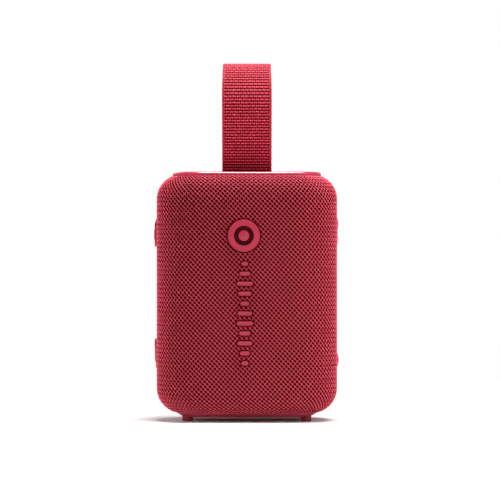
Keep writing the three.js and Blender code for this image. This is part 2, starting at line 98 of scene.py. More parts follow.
OPENING_GAP = 0.2 * MM                  # round a key, the flap and the lens
OPENING_DEPTH = 1.15 * MM
OPENING_EDGE = 0.12 * MM                # half the width of an opening's sloping edge

STRAP_WIDTH = strap_high.x - strap_low.x
STRAP_THICKNESS = 1.4 * MM
STRAP_LEAN = math.radians(20)
CREST_RADIUS = 13 * MM
BAR_HEIGHT = (bar_low.z + bar_high.z) / 2
BAR_RADIUS = (bar_high.z - bar_low.z) / 2
ROOT_RADIUS = BAR_RADIUS + 0.3 * MM + STRAP_THICKNESS / 2
WEAVE_ROW = 1.2 * MM
WEAVE_RIBS = 11                         # warp ribs across the webbing

MARK_WIDTHS = [2.6, 4.2, 6.3, 5.2, 3.4, 5.6, 6.3, 4.4, 5.8, 3.8, 2.6]     # mm, from the top down
MARK_PITCH = 3.9 * MM
MARK_HALF_HEIGHT = 0.75 * MM
PRESS_AND_SHADOW_SHARE = 0.7                     # how much of the yarn's height is lost under the marks, which also darkens it there as painted shadow
PRESS_AND_SHADOW_FROM, PRESS_AND_SHADOW_TO = 0.75 * MM, 0.25 * MM     # where that starts and is full

SYMBOL_RISE = 0.28 * MM                 # how far the symbols stand out of the keys
RIDGE_PITCH = 0.5 * MM                  # of the fine ribs across the power key

# ---- Mesh helpers --------------------------------------------------------------------------------


def new_object(name, points, faces, sharp=SHARP_ANGLE):
    mesh = bpy.data.meshes.new(name)
    mesh.from_pydata(np.asarray(points).tolist(), [], faces)
    mesh.validate()
    mesh.polygons.foreach_set("use_smooth", [True] * len(mesh.polygons))
    mesh.set_sharp_from_angle(angle=math.radians(sharp))
    piece = bpy.data.objects.new(name, mesh)
    bpy.context.scene.collection.objects.link(piece)
    return piece


def grid_faces(rows, columns, rows_close, columns_close):
    """Quads of a grid whose points are stored row by row."""
    r = np.arange(rows if rows_close else rows - 1)
    c = np.arange(columns if columns_close else columns - 1)
    r, c = np.meshgrid(r, c, indexing="ij")
    up, right = (r + 1) % rows, (c + 1) % columns
    this_row, next_row = r * columns, up * columns
    quads = np.stack([this_row + c, this_row + right, next_row + right, next_row + c], -1)
    return quads.reshape(-1, 4)


def loft(name, rings, sharp=SHARP_ANGLE):
    """A closed skin through rings that all have the same number of points."""
    rings = [np.asarray(ring) for ring in rings]
    count = len(rings[0])
    last = (len(rings) - 1) * count
    faces = grid_faces(len(rings), count, False, True).tolist()
    faces.append(list(range(count))[::-1])
    faces.append([last + i for i in range(count)])
    piece = new_object(name, np.concatenate(rings), faces, sharp)
    outward(piece)
    return piece


def outward(piece):
    """Turns the faces of a closed piece to look outwards."""
    work = bmesh.new()
    work.from_mesh(piece.data)
    bmesh.ops.recalc_face_normals(work, faces=work.faces)
    work.to_mesh(piece.data)
    work.free()


def rounded(half_a, half_b, radius, corner_steps=12):
    """Points of a rounded rectangle about the origin."""
    points = []
    for quarter, (sign_a, sign_b) in enumerate([(1, 1), (-1, 1), (-1, -1), (1, -1)]):
        for step in range(corner_steps + 1):
            angle = (quarter + step / corner_steps) * math.pi / 2
            points.append([
                sign_a * (half_a - radius) + radius * math.cos(angle),
                sign_b * (half_b - radius) + radius * math.sin(angle)])
    return np.array(points)


def turned(name, profile, centre, axis, segments=64, sharp=SHARP_ANGLE):
    """A body of revolution: profile is (radius, distance along the axis) points, axis to axis."""
    angles = np.linspace(0, 2 * math.pi, segments, endpoint=False)
    along = Vector(axis)
    side = along.orthogonal().normalized()
    other = along.cross(side)
    rings = []
    for radius, distance in profile:
        radius = max(radius, AXIS_GAP)
        middle = Vector(centre) + along * distance
        rings.append([
            middle + (side * math.cos(a) + other * math.sin(a)) * radius for a in angles])
    return loft(name, rings, sharp)


def joined(name, pieces):
    """The pieces as one object."""
    work = bmesh.new()
    for piece in pieces:
        work.from_mesh(piece.data)
        bpy.data.objects.remove(piece)
    mesh = bpy.data.meshes.new(name)
    work.to_mesh(mesh)
    work.free()
    piece = bpy.data.objects.new(name, mesh)
    bpy.context.scene.collection.objects.link(piece)
    return piece


def cut(piece, cutters):
    """Takes the cutters out of the piece."""
    for cutter in cutters:
        modifier = piece.modifiers.new("cut", "BOOLEAN")
        modifier.operation = "DIFFERENCE"
        modifier.solver = "EXACT"
        modifier.object = cutter
    bpy.context.view_layer.update()
    evaluated = piece.evaluated_get(bpy.context.evaluated_depsgraph_get())
    mesh = bpy.data.meshes.new_from_object(evaluated)
    piece.modifiers.clear()
    piece.data = mesh
    mesh.set_sharp_from_angle(angle=math.radians(SHARP_ANGLE))
    for cutter in cutters:
        bpy.data.objects.remove(cutter)
    return piece


def bake_map(piece, u, v):
    """A texture map for baked colours: u and v are one number for each face corner."""
    layer = piece.data.uv_layers.new(name="OFBake")
    layer.data.foreach_set("uv", np.stack([u, v], -1).astype(np.float32).ravel())


def point_values(piece, name, values):
    """One number for each point of the mesh, for its material to read."""
    attribute = piece.data.attributes.new(name, "FLOAT", "POINT")
    attribute.data.foreach_set("value", np.asarray(values, np.float32).ravel())


# ---- Materials -----------------------------------------------------------------------------------


def new_material(name):
    material = bpy.data.materials.new(name)
    material.use_nodes = True
    tree = material.node_tree
    shader = tree.nodes["Principled BSDF"]
    return material, tree, shader


def add_node(tree, kind, **settings):
    """A shader node with its properties, or else its input sockets, set by name."""
    made = tree.nodes.new(kind)
    for key, value in settings.items():
        if hasattr(made, key):
            setattr(made, key, value)
        else:
            made.inputs[key.replace("_", " ")].default_value = value
    return made


def object_place(tree):
    return add_node(tree, "ShaderNodeTexCoord").outputs["Object"]


def noise(tree, scale, detail=4.0, stretch=None):
    """Noise in the piece's own coordinates, drawn out by a scale for each axis."""
    place = object_place(tree)
    if stretch:
        mapping = add_node(tree, "ShaderNodeMapping")
        mapping.inputs["Scale"].default_value = stretch
        tree.links.new(place, mapping.inputs["Vector"])
        place = mapping.outputs["Vector"]
    made = add_node(tree, "ShaderNodeTexNoise", Scale=scale, Detail=detail)
    tree.links.new(place, made.inputs["Vector"])
    return made.outputs["Fac"]


def ramp(tree, source, stops):
    """Colours between (place, colour) stops."""
    made = add_node(tree, "ShaderNodeValToRGB")
    elements = made.color_ramp.elements
    while len(elements) < len(stops):
        elements.new(0.5)
    for element, (place, colour) in zip(elements, stops):
        element.position = place
        element.color = (*colour, 1)
    tree.links.new(source, made.inputs["Fac"])
    return made.outputs["Color"]


def mapped(tree, source, low, high, from_low=0.0, from_high=1.0):
    """The source's range stretched to run from low to high."""
    made = add_node(tree, "ShaderNodeMapRange")
    made.inputs["From Min"].default_value = from_low
    made.inputs["From Max"].default_value = from_high
    made.inputs["To Min"].default_value = low
    made.inputs["To Max"].default_value = high
    tree.links.new(source, made.inputs["Value"])
    return made.outputs["Result"]


def maths(tree, operation, *values):
    made = add_node(tree, "ShaderNodeMath", operation=operation)
    for socket, value in zip(made.inputs, values):
        if isinstance(value, (int, float)):
            socket.default_value = value
        else:
            tree.links.new(value, socket)
    return made.outputs[0]


def mixed(tree, factor, a, b, blend="MIX"):
    made = add_node(tree, "ShaderNodeMix", data_type="RGBA", blend_type=blend)
    factor_socket, a_socket, b_socket = (made.inputs[i] for i in (0, 6, 7))     # the colour ones
    for socket, value in ((factor_socket, factor), (a_socket, a), (b_socket, b)):
        if isinstance(value, (int, float)):
            socket.default_value = value
        elif isinstance(value, tuple):
            socket.default_value = (*value, 1)
        else:
            tree.links.new(value, socket)
    return made.outputs[2]


def bump(tree, shader, height, strength, distance):
    made = add_node(tree, "ShaderNodeBump")
    made.inputs["Strength"].default_value = strength
    made.inputs["Distance"].default_value = distance
    tree.links.new(height, made.inputs["Height"])
    tree.links.new(made.outputs["Normal"], shader.inputs["Normal"])


def shade(colour, factor):
    return tuple(min(1.0, channel * factor) for channel in colour)


def tinted(tree, colour, share, pattern, dark):
    """The colour, multiplied for a share of it by a tint between dark and white."""
    tint = ramp(tree, pattern, [(0.3, dark), (0.7, (1, 1, 1))])
    return mixed(tree, share, colour, tint, "MULTIPLY")


def set_sockets(shader, **values):
    """Plain numbers on the shader's own sockets."""
    for key, value in values.items():
        shader.inputs[key.replace("_", " ")].default_value = value


MOTTLE_SCALE, SCUFF_SCALE = 140, 900    # of the noise in the colour, and along rubbed edges
WORN_SHADE = 2.2                        # how much lighter a rubbed edge is
ROUGHNESS_SPREAD = 0.07


def moulded(name, colour, roughness, grain=2600, depth=0.02 * MM, strength=0.35, metallic=0.0,
            worn=0.10, stretch=None, spread=0.16, coat=0.0, specular=0.5):
    """Plastic, rubber or metal: mottled colour, fine grain in the surface, edges rubbed lighter."""
    material, tree, shader = new_material(name)
    mottle = noise(tree, MOTTLE_SCALE, 5, stretch)
    body = ramp(tree, mottle, [(0.3, shade(colour, 1 - spread)), (0.7, shade(colour, 1 + spread))])
    pointed = add_node(tree, "ShaderNodeNewGeometry").outputs["Pointiness"]
    scuffs = mapped(tree, noise(tree, SCUFF_SCALE, 3), 0.4, 1.0, 0.35, 0.65)
    edge = maths(tree, "MULTIPLY", mapped(tree, pointed, 0.0, worn, 0.5, 0.62), scuffs)
    worn_colour = mixed(tree, edge, body, shade(colour, WORN_SHADE))
    tree.links.new(worn_colour, shader.inputs["Base Color"])
    fine = noise(tree, grain, 3, stretch)
    rough = mapped(tree, maths(tree, "ADD", mottle, fine),
                   roughness - ROUGHNESS_SPREAD, roughness + ROUGHNESS_SPREAD, 0.7, 1.3)
    tree.links.new(rough, shader.inputs["Roughness"])
    set_sockets(shader, Metallic=metallic, Specular_IOR_Level=specular)
    if coat:
        set_sockets(shader, Coat_Weight=coat, Coat_Roughness=0.3)
    bump(tree, shader, fine, strength, depth)
    return material


def point_value(tree, name):
    return add_node(tree, "ShaderNodeAttribute", attribute_name=name).outputs["Fac"]


def yarn_line(tree, place, width):
    """The height of one set of ribs, from the place across them that the mesh carries."""
    away = maths(tree, "SUBTRACT", maths(tree, "FRACT", point_value(tree, place)), 0.5)
    away = maths(tree, "DIVIDE", away, width)
    squared = maths(tree, "MULTIPLY", away, away)
    return maths(tree, "EXPONENT", maths(tree, "MULTIPLY", squared, -1))


# The colours of the yarn at each height, from the openings up to its crests: the low places are
# painted dark as painted shade, and the crests pale pink as painted highlight.
KNIT_COLOURS_WITH_PAINTED_LIGHT = [
    (0.0, (0.075, 0.000, 0.001)),
    (0.53, (0.090, 0.000, 0.002)),
    (0.73, (0.31, 0.001, 0.012)),
    (0.88, (0.86, 0.040, 0.090)),
    (0.97, (1.0, 0.225, 0.290))]
WEBBING_COLOURS_WITH_PAINTED_LIGHT = [
    (0.0, (0.10, 0.000, 0.002)),
    (0.35, (0.18, 0.001, 0.006)),
    (0.60, (0.42, 0.012, 0.032)),
    (0.82, (0.78, 0.075, 0.120)),
    (0.97, (1.0, 0.27, 0.33))]


def knit_material():
    """Polyester mesh: ribs of yarn with fibres along the yarn; the openings between the ribs are
    painted dark as painted shade, and the crests pale pink as painted highlight.
    """
    material, tree, shader = new_material("knit_fabric")
    carried = point_value(tree, "yarn_height")
    plain = point_value(tree, "plain_knit")
    rising = maths(tree, "MULTIPLY", yarn_line(tree, "rising_place", RISING_RIB), RISING_SHARE)
    ribs = maths(tree, "MAXIMUM", yarn_line(tree, "falling_place", FALLING_RIB), rising)
    height = maths(tree, "ADD",
                   maths(tree, "MULTIPLY", carried, maths(tree, "SUBTRACT", 1, plain)),
                   maths(tree, "MULTIPLY", ribs, plain))
    fibre = noise(tree, 5200, 3, (1, 1, 0.45))
    cloud = noise(tree, 55, 3)
    # This ramp of the yarn's height paints shade into the openings and a highlight onto the crests.
    colour = ramp(tree, height, KNIT_COLOURS_WITH_PAINTED_LIGHT)
    colour = tinted(tree, colour, 0.5, fibre, (0.62, 0.55, 0.55))
    colour = tinted(tree, colour, 0.35, cloud, (0.8, 0.75, 0.75))
    tree.links.new(colour, shader.inputs["Base Color"])
    tree.links.new(mapped(tree, fibre, 0.5, 0.72, 0.3, 0.7), shader.inputs["Roughness"])
    set_sockets(shader, Specular_IOR_Level=0.06)
    bump(tree, shader, fibre, 0.5, 0.05 * MM)
    return material


def webbing_material():
    """Woven polyester yarn with some real gloss; the crests of the floats are painted pale pink as
    painted highlight, and the places between the rows are painted dark as painted shade.
    """
    material, tree, shader = new_material("webbing")
    fibre = noise(tree, 4200, 3, (0.35, 1, 1))
    cloud = noise(tree, 90, 3)
    # This ramp of the yarn's height paints shade between the rows and a highlight on the floats.
    colour = ramp(tree, point_value(tree, "yarn_height"), WEBBING_COLOURS_WITH_PAINTED_LIGHT)
    colour = tinted(tree, colour, 0.3, fibre, (0.65, 0.6, 0.6))
    colour = tinted(tree, colour, 0.3, cloud, (0.8, 0.75, 0.75))
    tree.links.new(colour, shader.inputs["Base Color"])
    tree.links.new(mapped(tree, fibre, 0.45, 0.6, 0.3, 0.7), shader.inputs["Roughness"])
    set_sockets(shader, Specular_IOR_Level=0.12)
    bump(tree, shader, fibre, 0.2, 0.03 * MM)
    return material


def foam_material():
    """Closed-cell foam: a cell pattern in colour and relief."""
    material, tree, shader = new_material("foam")
    cells = add_node(tree, "ShaderNodeTexVoronoi", Scale=1800)
    tree.links.new(object_place(tree), cells.inputs["Vector"])
    colour = ramp(tree, cells.outputs["Distance"],
                  [(0, (0.05, 0.05, 0.052)), (0.6, (0.02, 0.02, 0.021))])
    tree.links.new(colour, shader.inputs["Base Color"])
    set_sockets(shader, Roughness=0.95)
    bump(tree, shader, cells.outputs["Distance"], 0.8, 0.2 * MM)
    return material


def circuit_material():
    """Solder mask over copper tracks."""
    material, tree, shader = new_material("circuit")
    tracks = add_node(tree, "ShaderNodeTexBrick", Scale=420)
    tree.links.new(object_place(tree), tracks.inputs["Vector"])
    tracks.inputs["Color1"].default_value = (0.010, 0.085, 0.035, 1)
    tracks.inputs["Color2"].default_value = (0.014, 0.11, 0.045, 1)
    tracks.inputs["Mortar"].default_value = (0.03, 0.19, 0.08, 1)
    tracks.inputs["Mortar Size"].default_value = 0.012
    colour = mixed(tree, noise(tree, 300), tracks.outputs["Color"], (0.012, 0.09, 0.04))
    tree.links.new(colour, shader.inputs["Base Color"])
    tree.links.new(mapped(tree, tracks.outputs["Fac"], 0.32, 0.45), shader.inputs["Roughness"])
    bump(tree, shader, tracks.outputs["Fac"], 0.4, 0.04 * MM)
    return material


WAVE_PERIOD = 0.31416                   # metres between the bands of a wave texture of scale 1


def wound(name, colour, pitch, axis, metallic, roughness):
    """Windings or cloth ribs that repeat every pitch along an axis."""
    material, tree, shader = new_material(name)
    bands = add_node(tree, "ShaderNodeTexWave", bands_direction=axis, Scale=WAVE_PERIOD / pitch,
                     Distortion=0.4)
    tree.links.new(object_place(tree), bands.inputs["Vector"])
    banded = ramp(tree, bands.outputs["Fac"], [(0.1, shade(colour, 0.5)), (0.8, colour)])
    tree.links.new(banded, shader.inputs["Base Color"])
    rough = mapped(tree, noise(tree, 2000), roughness - 0.08, roughness + 0.08)
    tree.links.new(rough, shader.inputs["Roughness"])
    set_sockets(shader, Metallic=metallic)
    bump(tree, shader, bands.outputs["Fac"], 0.7, 0.06 * MM)
    return material


CAP_RED = (0.42, 0.020, 0.055)
BASE_RED = (0.40, 0.017, 0.050)
RUBBER_RED = (0.38, 0.017, 0.044)
# Near-black red for the sunk ring of the round mark: painted shade in the recess.
RECESS_SHADE_RED = (0.055, 0.001, 0.004)
# Half the red rubber's brightness for the feet under the body: painted shade.
FOOT_SHADE_RED = (0.19, 0.008, 0.022)

materials = {
    "knit_fabric": knit_material(),
    "webbing": webbing_material(),
    "red_plastic": moulded("red_plastic", CAP_RED, 0.24, spread=0.06, coat=0.7),
    "red_rubber": moulded("red_rubber", RUBBER_RED, 0.48, grain=3200, spread=0.08),
    "black_plastic": moulded("black_plastic", (0.020, 0.020, 0.021), 0.55, grain=1900,
                             strength=0.5),
    "black_steel": moulded("black_steel", (0.028, 0.029, 0.031), 0.42, grain=1500, metallic=0.6),
    "steel": moulded("steel", (0.56, 0.57, 0.59), 0.30, grain=1600, metallic=1.0,
                     stretch=(1, 8, 8)),
    "magnet_plate": moulded("magnet_plate", (0.60, 0.60, 0.61), 0.22, grain=1200, metallic=1.0),
    "copper": wound("copper", (0.62, 0.26, 0.11), 0.18 * MM, "Y", 1.0, 0.32),
    "cone_paper": moulded("cone_paper", (0.024, 0.024, 0.027), 0.85, grain=900, depth=0.1 * MM,
                          strength=0.6),
    "spider_cloth": wound("spider_cloth", (0.42, 0.22, 0.07), 0.35 * MM, "X", 0.0, 0.9),
    "black_rubber": moulded("black_rubber", (0.018, 0.018, 0.018), 0.62, grain=2400),
    "foam": foam_material(),
    "circuit": circuit_material(),
    "chip": moulded("chip", (0.018, 0.018, 0.020), 0.45, grain=2200),
    "battery_sleeve": moulded("battery_sleeve", (0.025, 0.10, 0.36), 0.28, grain=800),
    "clear_plastic": moulded("clear_plastic", (0.36, 0.34, 0.34), 0.12, grain=1500, strength=0.1),
}
base_material = moulded("red_plastic_base", BASE_RED, 0.42, spread=0.08)
recess_shade_material = moulded("red_rubber_recess_shade", RECESS_SHADE_RED, 0.7, grain=2800, worn=0, specular=0.1)
foot_shade_material = moulded("red_rubber_foot_shade", FOOT_SHADE_RED, 0.6, grain=2800)


def dress(piece, body, slot, replaced, material=None):
    """Gives a new piece its material, the slot's unless another is given, and its body, and hides
    the CAD nodes it replaces.
    """
    piece.data.materials.clear()
    piece.data.materials.append(material or materials[slot])
    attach(piece, body)
    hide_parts(*replaced)
    return piece


for part in frame["record"]["subparts"]:
    data = nodes[part["node"]].data
    data.materials.clear()
    data.materials.append(materials[part["material_slot"]])

# ---- Knitted sleeve ------------------------------------------------------------------------------


def smoothstep(low, high, value):
    t = np.clip((value - low) / (high - low), 0, 1)
    return t * t * (3 - 2 * t)


def plan_walk(distance):
    """For distances round the body from the middle of the back: a point on the rectangle of corner
    centres and the outward direction there, as the arrays centre x, centre y, out x and out y;
    and last the distance all the way round."""
    straight_x = HALF_WIDTH - CORNER
    straight_y = HALF_DEPTH - CORNER
    quarter = CORNER * math.pi / 2
    back_left, front_left = (-straight_x, straight_y), (-straight_x, -straight_y)
    front_right, back_right = (straight_x, -straight_y), (straight_x, straight_y)
    stretches = [  # length, corner centre at its end, direction at its end in quarter turns
        (0, (0, straight_y), 1),
        (straight_x, back_left, 1), (quarter, back_left, 2),
        (2 * straight_y, front_left, 2), (quarter, front_left, 3),
        (2 * straight_x, front_right, 3), (quarter, front_right, 4),
        (2 * straight_y, back_right, 4), (quarter, back_right, 5),
        (straight_x, (0, straight_y), 5)]
    marks = np.cumsum([length for length, _, _ in stretches])
    places = np.array([place for _, place, _ in stretches])
    turns = [turn for _, _, turn in stretches]
    turn = np.interp(distance, marks, turns) * math.pi / 2
    centre_x = np.interp(distance, marks, places[:, 0])
    centre_y = np.interp(distance, marks, places[:, 1])
    return centre_x, centre_y, np.cos(turn), np.sin(turn), marks[-1]


def side_slot(distance, height, middle, half_width, low, high, radius):
    """How far inside a window with rounded corners each place lies; negative outside."""
    across = np.abs(distance - middle) - (half_width - radius)
    along = np.abs(height - (low + high) / 2) - ((high - low) / 2 - radius)
    outside = np.hypot(np.maximum(across, 0), np.maximum(along, 0))
    return radius - outside - np.minimum(np.maximum(across, along), 0)


def rib(value, width):
    """1 along the lines where value is a whole number and a half, falling off within width."""
    away = np.abs(value - np.floor(value) - 0.5)
    return np.exp(-(away / width) ** 2)


def mark_heights():
    """The heights of the bars' middles, from the top down."""
    low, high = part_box("mark_bars")
    half_count = (len(MARK_WIDTHS) - 1) / 2
    return [(low.z + high.z) / 2 + MARK_PITCH * (half_count - i) for i in range(len(MARK_WIDTHS))]


def make_sleeve():
    low_turn = -math.acos((EDGE - BASE_INSET + KNIT_GAP) / EDGE)
    high_turn = math.acos((EDGE - CAP_INSET + KNIT_GAP) / EDGE)
    wall = BODY_TOP - BODY_BOTTOM - 2 * EDGE
    length = EDGE * (high_turn - low_turn) + wall
    perimeter = plan_walk(np.zeros(1))[4]

    columns = KNIT_COLUMNS * KNIT_STEPS
    rows = KNIT_ROW_PAIRS * KNIT_STEPS + 1
    around, along = np.meshgrid(
        np.arange(columns) * perimeter / columns, np.linspace(0, length, rows))
    centre_x, centre_y, out_x, out_y, _ = plan_walk(around)

    # The turn of the surface from upright, and the height, at each place up the profile.
    lower = -low_turn * EDGE
    turn = np.where(along < lower, (along - lower) / EDGE,
                    np.where(along > lower + wall, (along - lower - wall) / EDGE, 0))
    base_height = BODY_BOTTOM + EDGE + np.clip(along - lower, 0, wall)
    height = base_height + EDGE * np.sin(turn)

    column = around / perimeter * KNIT_COLUMNS
    pair = (along - length / 2) / (length / KNIT_ROW_PAIRS)
    leaning = column + KNIT_SKEW * pair
    yarn = np.maximum(rib(leaning + pair, FALLING_RIB),
                      RISING_SHARE * rib(leaning - pair, RISING_RIB))

    # The seam down the back: two turned edges side by side, with stitches across.
    from_seam = np.minimum(around, perimeter - around)
    seam_band = 1 - smoothstep(SEAM_HALF, SEAM_HALF + SEAM_FADE, from_seam)
    stitch = 0.5 + 0.5 * np.cos(2 * math.pi * along / STITCH_PITCH)
    stitch_place, stitch_reach, join_reach = 0.9 * MM, 0.45 * MM, 0.16 * MM
    seam_yarn = 0.72 + 0.25 * stitch * np.exp(-(((from_seam - stitch_place) / stitch_reach) ** 2))
    seam_yarn -= 0.7 * np.exp(-((from_seam / join_reach) ** 2))
    yarn = yarn * (1 - seam_band) + seam_yarn * seam_band
    plain = 1 - seam_band

    # Openings for the keys, the flap and the lens, where the knit dips to the housing.
    hole = np.full_like(yarn, -1.0)
    left_middle = perimeter / 4
    right_middle = perimeter * 3 / 4
    for node, middle in (("power_key", left_middle), ("port_flap", left_middle),
                         ("volume_rocker", right_middle), ("play_key", right_middle)):
        low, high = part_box(node)
        half = (high.y - low.y) / 2 + OPENING_GAP
        corner = min(half, (high.z - low.z) / 2) - 0.6 * MM
        window = side_slot(around, height, middle, half, low.z - OPENING_GAP, high.z + OPENING_GAP,
                           corner)
        hole = np.maximum(hole, window)
    low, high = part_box("status_lens")
    lens = (high.z - low.z) / 2 + OPENING_GAP
    from_lens = np.hypot(around - right_middle, height - (low.z + high.z) / 2)
    hole = np.maximum(hole, lens - from_lens)

    # The knit is pushed down round the marks on the front, and its colour there darkens with the
    # lost height as a painted shadow round the marks.
    front_middle = perimeter / 2
    low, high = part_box("mark_disc")
    near_mark = (high.x - low.x) / 2 - np.hypot(around - front_middle - (low.x + high.x) / 2,
                                                height - (low.z + high.z) / 2)
    low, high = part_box("mark_bars")
    for width, z in zip(MARK_WIDTHS, mark_heights()):
        bar = side_slot(around, height, front_middle + (low.x + high.x) / 2, width * MM / 2,
                        z - MARK_HALF_HEIGHT, z + MARK_HALF_HEIGHT, MARK_HALF_HEIGHT)
        near_mark = np.maximum(near_mark, bar)
    press_and_painted_shadow = PRESS_AND_SHADOW_SHARE * smoothstep(-PRESS_AND_SHADOW_FROM, -PRESS_AND_SHADOW_TO, near_mark)
    yarn = yarn * (1 - press_and_painted_shadow)
    plain = plain * (1 - press_and_painted_shadow)

    inside = smoothstep(-OPENING_EDGE, OPENING_EDGE, hole)
    out = -KNIT_DEPTH * (1 - yarn)
    out = out * (1 - inside) - OPENING_DEPTH * inside
    # With yarn height 0 the openings take the darkest colour of the ramp: painted shade in the gap
    # round each key.
    yarn = yarn * (1 - inside)
    plain = plain * (1 - inside)

    reach = CORNER - EDGE + (EDGE + out) * np.cos(turn)
    height = base_height + (EDGE + out) * np.sin(turn)
    points = np.stack([centre_x + out_x * reach, centre_y + out_y * reach, height], -1)
    quads = grid_faces(rows, columns, False, True)
    piece = new_object("knit_sleeve", points.reshape(-1, 3), quads.tolist(), sharp=180)
    corner_column = quads % columns
    u = corner_column / columns
    u[corner_column[:, 1] == 0, 1:3] = 1.0      # the last column's quads wrap round to the first
    bake_map(piece, u.ravel(), (quads // columns / (rows - 1)).ravel())
    point_values(piece, "yarn_height", yarn)
    point_values(piece, "plain_knit", plain)
    point_values(piece, "falling_place", leaning + pair + KNIT_ROW_PAIRS)
    point_values(piece, "rising_place", leaning - pair + KNIT_ROW_PAIRS)
    dress(piece, "enclosure", "knit_fabric", ["fabric_sleeve"])


make_sleeve()

# ---- Carry loop ----------------------------------------------------------------------------------


def loop_line():
    """The middle of the webbing in (y, z), with outward directions: close points from the back
    shoulder over the crest, down the front, round the bar and up again."""
    crest_height = strap_high.z - STRAP_THICKNESS / 2 - CREST_RADIUS
    sine, cosine = math.sin(STRAP_LEAN), math.cos(STRAP_LEAN)
    across = CREST_RADIUS - ROOT_RADIUS * cosine
    up = crest_height - BAR_HEIGHT + ROOT_RADIUS * sine
    shoulder = (up * sine - across * cosine) / (sine * sine - cosine * (1 - cosine))
    shoulder_y = CREST_RADIUS - shoulder
    arc_points = 200
    arcs = [  # centre, radius, start angle, end angle
        ((0, crest_height), CREST_RADIUS, 0, math.pi),
        ((-shoulder_y, crest_height), shoulder, math.pi, math.pi + STRAP_LEAN),
        ((0, BAR_HEIGHT), ROOT_RADIUS, math.pi + STRAP_LEAN, 2 * math.pi - STRAP_LEAN),
        ((shoulder_y, crest_height), shoulder, -STRAP_LEAN, 0)]
    places, outs = [], []
    for (centre_y, centre_z), radius, start, end in arcs:
        for angle in np.linspace(start, end, arc_points):
            out_y, out_z = math.cos(angle), math.sin(angle)
            outs.append((out_y, out_z))
            places.append((centre_y + radius * out_y, centre_z + radius * out_z))
    places.append(places[0])
    outs.append(outs[0])
    return np.array(places), np.array(outs)


def make_strap():
    places, outs = loop_line()
    walked = np.concatenate([[0], np.cumsum(np.linalg.norm(np.diff(places, axis=0), axis=1))])
    length = walked[-1]
    row_count = 2 * round(length / WEAVE_ROW / 2)
    steps_per_row, steps_per_rib, edge_steps = 8, 12, 6
    stations = row_count * steps_per_row
    at = np.arange(stations) * length / stations
    middle = np.stack([np.interp(at, walked, places[:, i]) for i in (0, 1)], -1)
    out = np.stack([np.interp(at, walked, outs[:, i]) for i in (0, 1)], -1)
    out /= np.linalg.norm(out, axis=1, keepdims=True)

    # The cross-section: over the outside, round one selvedge, over the inside, round the other.
    flat_steps = WEAVE_RIBS * steps_per_rib
    across = np.linspace(-1, 1, flat_steps + 1)
    selvedge = np.linspace(math.pi / 2, -math.pi / 2, edge_steps + 2)[1:-1]
    section_a = np.concatenate([across, np.ones(edge_steps), across[::-1], -np.ones(edge_steps)])
    none, full = np.zeros_like(across), np.ones_like(across)
    bulge = np.concatenate([none, np.cos(selvedge), none, -np.cos(selvedge)])
    level = np.concatenate([full, np.sin(selvedge), -full, np.sin(-selvedge)])
    count = len(section_a)

    # The width: a little less over the crest, and in and out with the rows at the selvedges.
    row = (at / length * row_count)[:, None]
    flat_half = STRAP_WIDTH / 2 - STRAP_THICKNESS / 2
    crest_loss, crest_reach, row_swing = 0.035, 7 * MM, 0.0025
    narrow = 1 - crest_loss * np.exp(-(((middle[:, 1] - strap_high.z) / crest_reach) ** 2))
    wave = 1 + row_swing * np.cos(math.pi * row[:, 0])
    half = flat_half * narrow * wave
    rib_place = (section_a[None, :] + 1) / 2 * WEAVE_RIBS

    # Rows of floats: each row is a round cord across the webbing, raised where a warp rib passes
    # over it, with the ribs of neighbouring rows half a rib apart.
    in_row = row - np.floor(row)
    odd = np.floor(row) % 2
    cord = np.sin(math.pi * in_row) ** 1.1
    over = 0.5 + 0.5 * np.cos(2 * math.pi * (rib_place - 0.5 - 0.5 * odd))
    twin = 0.5 + 0.5 * np.cos(4 * math.pi * (rib_place - 0.25))
    yarn = cord * (0.60 + 0.16 * over + 0.24 * twin)
    edge_height, edge_swing, edge_from, edge_to = 0.62, 0.05, 0.93, 0.99
    edge_cord = edge_height + edge_swing * np.cos(math.pi * row) * np.ones_like(rib_place)
    at_edge = smoothstep(edge_from, edge_to, np.abs(section_a))[None, :]
    yarn = yarn * (1 - at_edge) + edge_cord * at_edge

    relief = 0.42 * MM
    thick = STRAP_THICKNESS / 2 - relief * (1 - yarn)
    normal_offset = level[None, :] * thick
    side_offset = section_a[None, :] * half[:, None] + bulge[None, :] * thick
    points = np.empty((stations, count, 3))
    points[..., 0] = side_offset
    points[..., 1] = middle[:, None, 0] + out[:, None, 0] * normal_offset
    points[..., 2] = middle[:, None, 1] + out[:, None, 1] * normal_offset
    quads = grid_faces(stations, count, True, True)
    piece = new_object("webbing_loop", points.reshape(-1, 3), quads.tolist(), sharp=180)
    outward(piece)
    point_values(piece, "yarn_height", yarn)
    dress(piece, "strap", "webbing", ["strap_loop"])


make_strap()

# ---- Top cap, base and feet ----------------------------------------------------------------------


def plan_ring(inset, height):
    """The body's outline in plan, moved in by inset."""
    flat = rounded(HALF_WIDTH - inset, HALF_DEPTH - inset, CORNER - inset, 20)
    return np.column_stack([flat, np.full(len(flat), height)])


def quarter_round(steps):
    """Angles from 0 to a quarter turn."""
    return [math.pi / 2 * step / steps for step in range(steps + 1)]


def hole_cutter(centre, radius, low, high, segments=32):
    """A cutter for an upright round hole between two heights."""
    profile = [(0, low), (radius, low), (radius, high), (0, high)]
    return turned("hole_cutter", profile, centre, (0, 0, 1), segments)


